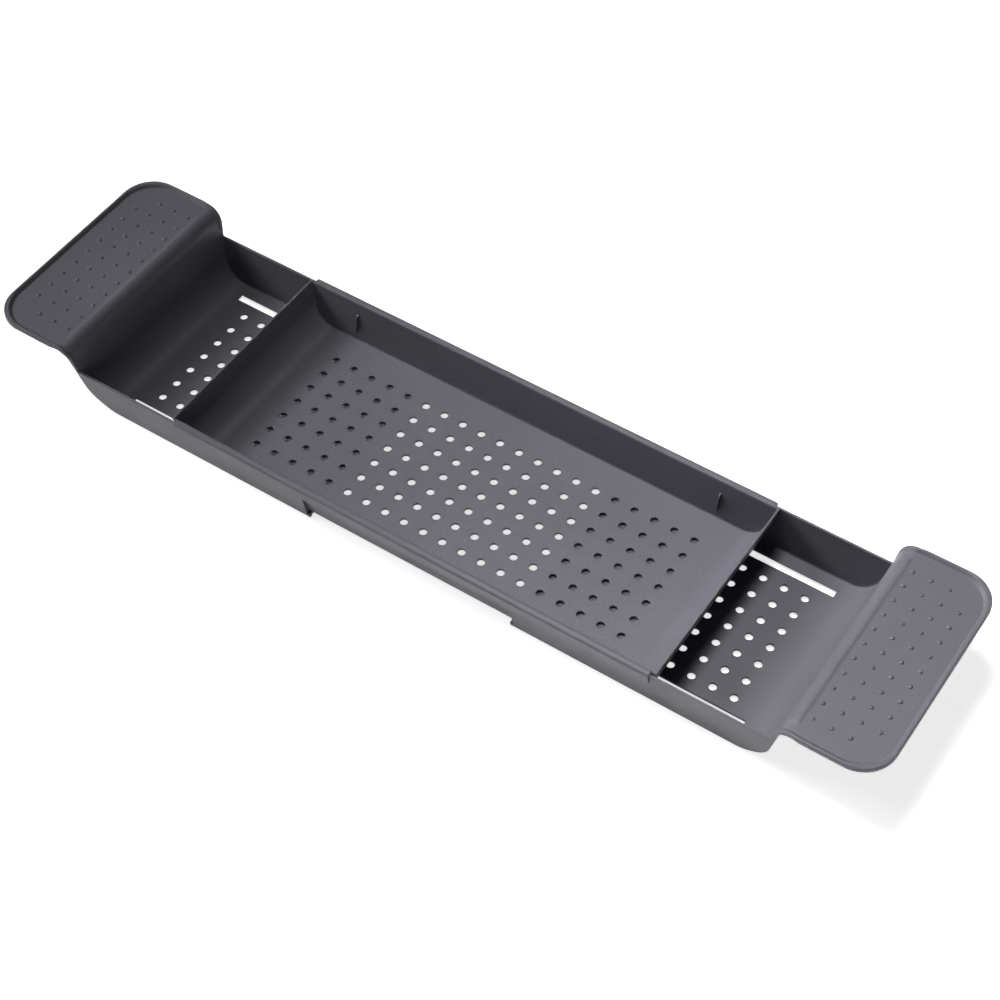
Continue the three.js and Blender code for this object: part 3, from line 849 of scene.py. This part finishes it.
def end_body(scene):
    """Floor, side walls, rise and wing of the right-hand end tray.

    Stations along the rack follow two lines seen from the side, the upper and the under face of
    floor, rise and wing, with as many points each. Across the rack the lines run from the middle
    to the side wall's top, and on the rise and the wing the same lines become the lip.
    """
    s, e, p = scene.rack_shared, scene.rack_end, places(scene)
    r, slot_half = s.edge_round, e.slot_width / 2
    columns = e.first_hole + np.arange(e.hole_columns) * s.hole_pitch
    lines_u, holes_u = hole_lines(columns, s.hole_pitch)
    lines_v, holes_v = hole_lines(centred(s.hole_rows, s.hole_pitch), s.hole_pitch)
    lines_u[0] = e.wall_start
    lines_u[np.argmin(abs(lines_u - e.slot_inner))] = e.slot_inner

    # Rings of the wing, from its edge inwards, one for each line from a side wall's top to a slot
    rings = WALL_TOP_STEPS + WALL_STEPS + FOOT_STEPS + SLOT_SIDE_STEPS + 1
    inset_top = np.r_[
        e.wing_edge, np.linspace(*LIP_BAND, LIP_LINES),
        np.linspace(LIP_BAND[1], e.wing_corner, rings + 1 - LIP_LINES)[1:],
    ]
    wing_lines = wing_edge_lines(e, rings)
    inset_under = wing_lines[0]

    # Stations along both faces: tongue, floor, rise, level wing and the wing's rings
    out, up = quarter(TONGUE_LINES - 2)
    tongue_end = e.wall_start - TONGUE_GAP
    x_tongue = np.linspace(p.tip + r, tongue_end, TONGUE_LINES)
    x_tongue_under = np.r_[p.tip + e.tongue_round * up, tongue_end]
    z_tongue_under = np.r_[e.tongue_round * (1 - out), 0]
    plate_from = p.wing_inner + PLATE_START
    steps, arcs = [1, RISE_STEPS, RISE_STEPS], [SCOOP_STEPS, SHOULDER_STEPS]
    x_rise, z_rise = rounded_path(
        [(e.slot_outer, p.end_top),
         (p.rise_inside(p.end_top), p.end_top, e.rise_radius - e.rise_wall),
         (p.rise_inside(p.plate_top), p.plate_top, e.shoulder_radius + e.rise_wall),
         (plate_from, p.plate_top)],
        steps, arcs,
    )
    x_rise_under, z_rise_under = rounded_path(
        [(e.slot_outer, e.foot), (p.rise_outside(e.foot), e.foot, e.rise_radius),
         (p.rise_outside(p.plate_under), p.plate_under, e.shoulder_radius),
         (plate_from, p.plate_under)],
        steps, arcs,
    )
    x_plate = np.linspace(plate_from, p.wing_end - e.wing_corner, PLATE_STEPS + 1)[1:-1]
    x_floor = np.r_[lines_u, np.linspace(lines_u[-1], e.slot_outer, GAP_STEPS + 1)[1:-1]]
    x_top = np.r_[x_tongue, x_floor, x_rise, x_plate, p.wing_end - inset_top[::-1]]
    x_under = np.r_[
        x_tongue_under, x_floor, x_rise_under, x_plate, p.wing_end - inset_under[::-1]
    ]
    on_wing = len(x_plate) + rings + 1
    s_top = np.r_[
        np.full(TONGUE_LINES + len(x_floor), p.end_top), z_rise, np.full(on_wing, p.plate_top)
    ]
    s_under = np.r_[
        z_tongue_under, np.full(len(x_floor), e.foot), z_rise_under,
        np.full(on_wing, p.plate_under),
    ]
    ring_u = len(x_top) - 1 - np.arange(len(x_top))

    # Lines across, from the slot outwards, on the tray and on the wing
    y_tray, k_tray = rounded_path(
        [(e.slot_place + slot_half, p.end_top), (p.end_inside(p.end_top), p.end_top, e.foot_radius),
         (p.end_inside(p.wall_top), p.wall_top, r),
         (p.end_outside(p.wall_top) - r, p.wall_top)],
        [SLOT_SIDE_STEPS, WALL_STEPS, 1], [FOOT_STEPS, WALL_TOP_STEPS - 1],
    )
    slot_side = e.slot_place - slot_half
    y_tray = both_sides(lines_v, np.r_[slot_side, e.slot_place, y_tray], -1)
    k_tray = both_sides(np.full_like(lines_v, p.end_top), np.r_[p.end_top, p.end_top, k_tray])
    y_wing = both_sides(lines_v, np.r_[slot_side, p.wing_half - inset_top[::-1]], -1)
    count_v = len(y_tray)
    ring_v = np.minimum(np.arange(count_v), count_v - 1 - np.arange(count_v))
    beside = (count_v - len(lines_v)) // 2
    holes_u = among_others(holes_u, TONGUE_LINES, len(x_top) - TONGUE_LINES - len(lines_u))
    holes_v = among_others(holes_v, beside, beside)

    # Outline seen from above, and the lip's line seen from the side
    x_lip, z_lip = rounded_path(
        [(p.rise_inside(p.wall_top), p.wall_top),
         (p.rise_inside(p.lip_top) - e.lip_height, p.lip_top,
          e.shoulder_radius + e.rise_wall + e.lip_height),
         (p.wing_inner + e.wing_flare, p.lip_top)],
        [RISE_STEPS, 2], [SHOULDER_STEPS],
    )
    in_tongue = np.arange(len(x_top)) < TONGUE_LINES
    edge_z = np.where(in_tongue, p.end_top, np.interp(x_top, x_lip, z_lip))
    flare = e.wing_overhang * smooth_step((x_top - p.wing_inner) / e.wing_flare)
    half_width = p.end_outside(np.minimum(edge_z, p.plate_top)) + flare
    tray_half = p.end_outside(p.wall_top)
    wing_share = np.clip((half_width - tray_half) / (p.wing_half - tray_half), 0, 1)
    half_width, w = half_width[:, None], wing_share[:, None]

    # Upper surface. On the tongue the walls' lines are squeezed into the floor's edge
    foot_line = y_tray[count_v - 1 - WALL_TOP_STEPS - WALL_STEPS - FOOT_STEPS]
    beyond = np.clip((abs(y_tray) - foot_line) / (tray_half - r - foot_line), 0, 1)
    squeezed = foot_line + beyond * (p.end_outside(p.end_top) - r - foot_line)
    y = np.where(in_tongue[:, None] & (beyond > 0), np.sign(y_tray) * squeezed, y_tray)
    y = mix(y, y_wing, w)
    x = np.broadcast_to(x_top[:, None], y.shape)
    x, y = quarter_round(x, y, ring_u, ring_v, inset_top, e.wing_corner, p)
    x, y = bend_round_holes(x, y, holes_u, holes_v, s)
    tray = smooth_max(s_top[:, None], k_tray[None, :], s.corner_round, p.end_top)
    tray = np.minimum(tray, np.maximum(p.wall_top, s_top)[:, None])
    on_lip = lip_share(x, y, half_width, e, p)
    s_here = np.interp(x, x_top, s_top)
    risen = s_here + on_lip * (np.maximum(np.interp(x, x_lip, z_lip), s_here) - s_here)
    risen = risen + ridge_height(x, y, e, p) * (1 - on_lip)
    z = np.where((s_top >= p.wall_top)[:, None], risen, tray)
    z = np.where(in_tongue[:, None], p.end_top, z)
    top = np.stack([x, y, z], axis=-1)

    # Under surface: lines of the outer face, the foot and the floor, or of the wing's edge
    outer = ring_v < rings
    pick = np.minimum(ring_v, rings - 1)
    tray_lines = tray_edge_lines(e, p, rings, r)
    inset_tray, above_tray, part_tray = np.where(outer, tray_lines[:, pick], 0)
    inset_wing, above_wing, part_wing = np.where(outer, wing_lines[:, pick], 0)
    run_out = 1 - smooth_step((x_under - e.rise_foot) / (e.rise_radius / 2))
    depth = np.clip(s_under / e.foot, 0, 1) * run_out
    ring = np.minimum(np.minimum(ring_u[:, None], ring_v), rings)
    on_end = (ring_u < rings)[:, None]
    above = mix(above_tray * depth[:, None], above_wing, w)
    above = np.where(on_end, wing_lines[1][ring], above)
    part = np.where(on_end, wing_lines[2][ring], mix(part_tray, part_wing, w))
    top_z = z[:, 0] - np.where(s_top >= p.wall_top, mix(r, e.wing_edge, wing_share), r)
    z_low = s_under[:, None] + above + part * (top_z[:, None] - s_under[:, None])
    x_low = mix(x_under[:, None], x[:, :1], np.where(on_end, 0, part))
    half_here = mix(p.end_outside(z_low + r * part), half_width, w)
    inset = mix(inset_tray, inset_wing, w)
    y_low = np.where(outer, np.sign(y_tray) * (half_here - inset), y)
    x_low, y_low = quarter_round(x_low, y_low, ring_u, ring_v, inset_under, e.wing_corner, p)
    x_low, y_low = bend_round_holes(x_low, y_low, holes_u, holes_v, s)
    under = np.stack([x_low, y_low, z_low], axis=-1)

    # Cells: drain holes and guide slots are left out
    middle_x = (x_top[1:] + x_top[:-1]) / 2
    middle_y = abs(y_tray[1:] + y_tray[:-1]) / 2
    in_slot = (middle_x > e.slot_inner) & (middle_x < e.slot_outer)
    in_slot = in_slot[:, None] & (abs(middle_y - e.slot_place) < slot_half)[None, :]
    present = ~hole_cells(holes_u, holes_v) & ~in_slot
    outline = (ring_v == 0)[None, :] | np.isin(ring_u, (0, len(x_top) - 1))[:, None]
    round_top = np.where(outline, mix(r, e.wing_edge, w), r)
    return thick_sheet(top, under, present, round_top, np.where(outline, 0, r))


def grip_bumps(scene):
    """Rows of small domes on the wing, their feet sunk in it.

    At radius r the height is h (1 - (r / R) ^ BUMP_POWER).
    """
    e, p = scene.rack_end, places(scene)
    sunk = -e.wing_plate / 4
    turn = np.tile(np.linspace(0, 2 * np.pi, BUMP_SIDES, endpoint=False), len(BUMP_RING_SHARES))
    share = np.repeat(BUMP_RING_SHARES, BUMP_SIDES)
    radius = share * e.bump_radius
    height = (1 - share**BUMP_POWER) * e.bump_height
    height[:BUMP_SIDES] = sunk
    dome = np.column_stack([radius * np.cos(turn), radius * np.sin(turn), height])
    dome = np.vstack([dome, [0, 0, e.bump_height], [0, 0, sunk]])
    index = np.arange(BUMP_SIDES * len(BUMP_RING_SHARES)).reshape(-1, BUMP_SIDES)
    ahead = np.roll(index, -1, axis=1)
    quads = np.stack([index[:-1], ahead[:-1], ahead[1:], index[1:]], axis=-1).reshape(-1, 4)
    tip, base = len(dome) - 2, len(dome) - 1
    caps = np.concatenate([
        np.column_stack([index[-1], ahead[-1], np.full(BUMP_SIDES, tip)]),
        np.column_stack([ahead[0], index[0], np.full(BUMP_SIDES, base)]),
    ])
    rows = [e.bump_rows] * (e.bump_columns - 1) + [e.bump_outer_rows]
    spots = np.array([
        (p.wing_inner + e.bump_inset + k * e.bump_pitch_x, y)
        for k, count in enumerate(rows) for y in centred(count, e.bump_pitch_y)
    ])
    lifted = np.column_stack([spots, np.full(len(spots), p.plate_top)])
    points = (lifted[:, None, :] + dome[None, :, :]).reshape(-1, 3)
    starts = (np.arange(len(spots)) * len(dome))[:, None, None]
    return points, [(quads + starts).reshape(-1, 4), (caps + starts).reshape(-1, 3)]


# Materials


def add_node(tree, kind, x, y, **inputs):
    """A node at a place in the tree, with its named inputs set."""
    node = tree.nodes.new(kind)
    node.location = (x, y)
    for name, value in inputs.items():
        node.inputs[name.replace("_", " ")].default_value = value
    return node


def joined(tree, operation, x, y, first, second):
    """Output of a node that joins two outputs by an operation."""
    node = add_node(tree, "ShaderNodeMath", x, y)
    node.operation = operation
    tree.links.new(first, node.inputs[0])
    tree.links.new(second, node.inputs[1])
    return node.outputs[0]


def drifting(tree, noise, x, y, middle, spread):
    """Output that follows a noise from middle - spread to middle + spread."""
    ramp = add_node(
        tree, "ShaderNodeMapRange", x, y, From_Min=NOISE_RANGE[0], From_Max=NOISE_RANGE[1],
        To_Min=middle - spread, To_Max=middle + spread,
    )
    tree.links.new(noise.outputs["Fac"], ramp.inputs["Value"])
    return ramp.outputs["Result"]


def plastic_material(scene):
    """Matte moulded plastic: slow colour drift, fine specks, uneven gloss and a fine grain."""
    finish = scene.rack_finish
    material = bpy.data.materials.new("matte_tray_plastic")
    material.use_nodes = True
    tree = material.node_tree
    shader = tree.nodes["Principled BSDF"]
    shader.inputs["Specular IOR Level"].default_value = finish.specular
    where = add_node(tree, "ShaderNodeTexCoord", -1100, 0)
    drift = add_node(tree, "ShaderNodeTexNoise", -900, 300, Scale=DRIFT_SCALE, Detail=3)
    specks = add_node(tree, "ShaderNodeTexNoise", -900, 50, Scale=SPECK_SCALE, Detail=2)
    gloss = add_node(tree, "ShaderNodeTexNoise", -900, -200, Scale=GLOSS_SCALE, Detail=4)
    grain = add_node(
        tree, "ShaderNodeTexNoise", -900, -450, Scale=1 / finish.grain_size, Detail=3, Roughness=0.6
    )
    for noise in (drift, specks, gloss, grain):
        tree.links.new(where.outputs["Object"], noise.inputs["Vector"])
    shade = joined(
        tree, "MULTIPLY", -220, 260,
        drifting(tree, drift, -650, 300, 1, finish.streak),
        drifting(tree, specks, -400, 200, 1, finish.speckle),
    )
    tint = add_node(tree, "ShaderNodeVectorMath", -60, 200)
    tint.operation = "SCALE"
    tint.inputs[0].default_value = finish.colour
    tree.links.new(shade, tint.inputs["Scale"])
    tree.links.new(tint.outputs["Vector"], shader.inputs["Base Color"])
    rough = drifting(tree, gloss, -400, -150, finish.roughness, GLOSS_SPREAD)
    tree.links.new(rough, shader.inputs["Roughness"])
    bump = add_node(
        tree, "ShaderNodeBump", -200, -400, Strength=GRAIN_STRENGTH, Distance=finish.grain_depth
    )
    tree.links.new(grain.outputs["Fac"], bump.inputs["Height"])
    tree.links.new(bump.outputs["Normal"], shader.inputs["Normal"])
    return material


def tray_plastic(scene):
    """The one plastic that all three trays are moulded in."""
    return bpy.data.materials.get("matte_tray_plastic") or plastic_material(scene)


# Operators


class BATHRACK_OT_centre_tray(bpy.types.Operator):
    """Builds the perforated centre tray with its hooked rims, fins and snap hooks"""

    bl_idname = "bathrack.centre_tray"
    bl_label = "Centre Tray"

    def execute(self, context):
        scene = context.scene
        shell = merged([centre_basin(scene), *centre_fins(scene), *centre_hooks(scene)])
        place_piece("centre_tray_moulding", shell, "centre_tray", "centre", tray_plastic(scene))
        return {"FINISHED"}


class BATHRACK_OT_end_trays(bpy.types.Operator):
    """Builds both end trays, each with its rise, wing, lip, ridge and grip bumps"""

    bl_idname = "bathrack.end_trays"
    bl_label = "End Trays"

    def execute(self, context):
        scene = context.scene
        points, faces = merged([end_body(scene), grip_bumps(scene)])
        half_turn = np.array([-1, -1, 1])
        plastic = tray_plastic(scene)
        place_piece("right_end_moulding", (points, faces), "right_end_tray", "right_end", plastic)
        place_piece(
            "left_end_moulding", (points * half_turn, faces), "left_end_tray", "left_end", plastic
        )
        return {"FINISHED"}


class BATHRACK_OT_stage(bpy.types.Operator):
    """Sets up the camera, the pale floor and the soft light"""

    bl_idname = "bathrack.stage"
    bl_label = "Stage"

    def execute(self, context):
        make_camera(context.scene)
        make_floor(context.scene)
        make_light(context.scene)
        return {"FINISHED"}


def make_camera(scene):
    """Camera that sees the rack from the picture's viewing angle."""
    stage = scene.rack_stage
    right, ahead = Vector(stage.right).normalized(), Vector(stage.ahead).normalized()
    up = right.cross(ahead)
    data = bpy.data.cameras.new("rack_camera")
    data.sensor_width = SENSOR_WIDTH
    data.lens = stage.lens
    camera = bpy.data.objects.new("rack_camera", data)
    camera.matrix_world = (
        Matrix.Translation(stage.place) @ Matrix((right, up, -ahead)).transposed().to_4x4()
    )
    scene.collection.objects.link(camera)
    scene.camera = camera
    scene.view_settings.view_transform = "Standard"


def make_floor(scene):
    """Pale floor that keeps the rack's shadow, and is seen white away from it."""
    stage = scene.rack_stage
    reach = stage.floor_reach
    mesh = bpy.data.meshes.new("pale_floor")
    corners = [(-reach, -reach, 0), (reach, -reach, 0), (reach, reach, 0), (-reach, reach, 0)]
    mesh.from_pydata(corners, [], [(0, 1, 2, 3)])
    floor = bpy.data.objects.new("pale_floor", mesh)
    scene.collection.objects.link(floor)
    material = bpy.data.materials.new("pale_floor")
    material.use_nodes = True
    tree = material.node_tree
    shader = tree.nodes["Principled BSDF"]
    shader.inputs["Base Color"].default_value = (*stage.floor_colour, 1)
    shader.inputs["Roughness"].default_value = 0.9
    shader.inputs["Specular IOR Level"].default_value = 0
    shader.inputs["Emission Color"].default_value = (1, 1, 1, 1)
    where = add_node(tree, "ShaderNodeTexCoord", -800, 0)
    away = add_node(tree, "ShaderNodeVectorMath", -600, 0)
    away.operation = "LENGTH"
    tree.links.new(where.outputs["Object"], away.inputs[0])
    white = add_node(
        tree, "ShaderNodeMapRange", -400, 0, From_Min=stage.shadow_reach,
        From_Max=2 * stage.shadow_reach, To_Min=stage.floor_white, To_Max=1,
    )
    tree.links.new(away.outputs["Value"], white.inputs["Value"])
    glow = joined(tree, "MULTIPLY", -200, 0, seen_directly(tree), white.outputs["Result"])
    tree.links.new(glow, shader.inputs["Emission Strength"])
    mesh.materials.append(material)


def seen_directly(tree):
    """Output that is 1 for rays from the camera, in reflections and through clear things."""
    path = add_node(tree, "ShaderNodeLightPath", -600, 600)
    seen = path.outputs["Is Camera Ray"]
    for name, x in (("Is Glossy Ray", -400), ("Is Transmission Ray", -200)):
        seen = joined(tree, "MAXIMUM", x, 600, seen, path.outputs[name])
    return seen


def make_light(scene):
    """Dim even sky that the camera sees white, and four soft lamps."""
    stage = scene.rack_stage
    world = scene.world or bpy.data.worlds.new("studio")
    scene.world = world
    world.use_nodes = True
    tree = world.node_tree
    sky = tree.nodes["Background"]
    sky.inputs["Color"].default_value = (1, 1, 1, 1)
    strength = add_node(tree, "ShaderNodeMapRange", -200, 300, To_Min=stage.sky, To_Max=1)
    path = add_node(tree, "ShaderNodeLightPath", -400, 300)
    tree.links.new(path.outputs["Is Camera Ray"], strength.inputs["Value"])
    tree.links.new(strength.outputs["Result"], sky.inputs["Strength"])
    # Each lamp's place, the point it faces, its side in metres, its spread in degrees, its power
    for name, place, aim, side, spread, watts in (
        ("left_light", (-1.62, -0.5, 1.23), (0, 0, 0), 0.7, 180, stage.left_power),
        ("far_light", (-1.9, 0, 1.55), (0.45, 0, 0), 0.7, 24, stage.far_power),
        ("top_light", (-0.2, 0.25, 1.5), (0.35, 0, 0), 0.5, 50, stage.top_power),
        ("front_light", (1.6, -1.2, 0.25), (0.3, 0, 0), 0.7, 180, stage.front_power),
    ):
        data = bpy.data.lights.new(name, "AREA")
        data.shape = "SQUARE"
        data.size = side
        data.spread = np.radians(spread)
        data.energy = watts
        lamp = bpy.data.objects.new(name, data)
        lamp.location = place
        toward = Vector(aim) - Vector(place)
        lamp.rotation_euler = toward.to_track_quat("-Z", "Y").to_euler()
        scene.collection.objects.link(lamp)


class BATHRACK_PT_parts(bpy.types.Panel):
    """Sizes of the rack and the steps that build it"""

    bl_idname = "BATHRACK_PT_parts"
    bl_label = "Bath Rack"
    bl_space_type = "VIEW_3D"
    bl_region_type = "UI"
    bl_category = "Bath Rack"

    def draw(self, context):
        column = self.layout.column(align=True)
        for operator in OPERATORS:
            column.operator(operator.bl_idname)
        for group in GROUPS:
            settings = getattr(context.scene, group)
            box = self.layout.box()
            for name in settings.__annotations__:
                box.prop(settings, name)


GROUPS = {
    "rack_shared": SharedSizes,
    "rack_centre": CentreSizes,
    "rack_end": EndSizes,
    "rack_finish": PlasticFinish,
    "rack_stage": StageSettings,
}
OPERATORS = (BATHRACK_OT_stage, BATHRACK_OT_centre_tray, BATHRACK_OT_end_trays)
CLASSES = (*GROUPS.values(), *OPERATORS, BATHRACK_PT_parts)


def register():
    for one in CLASSES:
        bpy.utils.register_class(one)
    for name, group in GROUPS.items():
        setattr(bpy.types.Scene, name, PointerProperty(type=group))


def unregister():
    for name in GROUPS:
        delattr(bpy.types.Scene, name)
    for one in reversed(CLASSES):
        bpy.utils.unregister_class(one)


def main():
    """Builds the whole rack."""
    register()
    bpy.ops.bathrack.stage()
    bpy.ops.bathrack.centre_tray()
    bpy.ops.bathrack.end_trays()


if __name__ == "__main__":
    main()
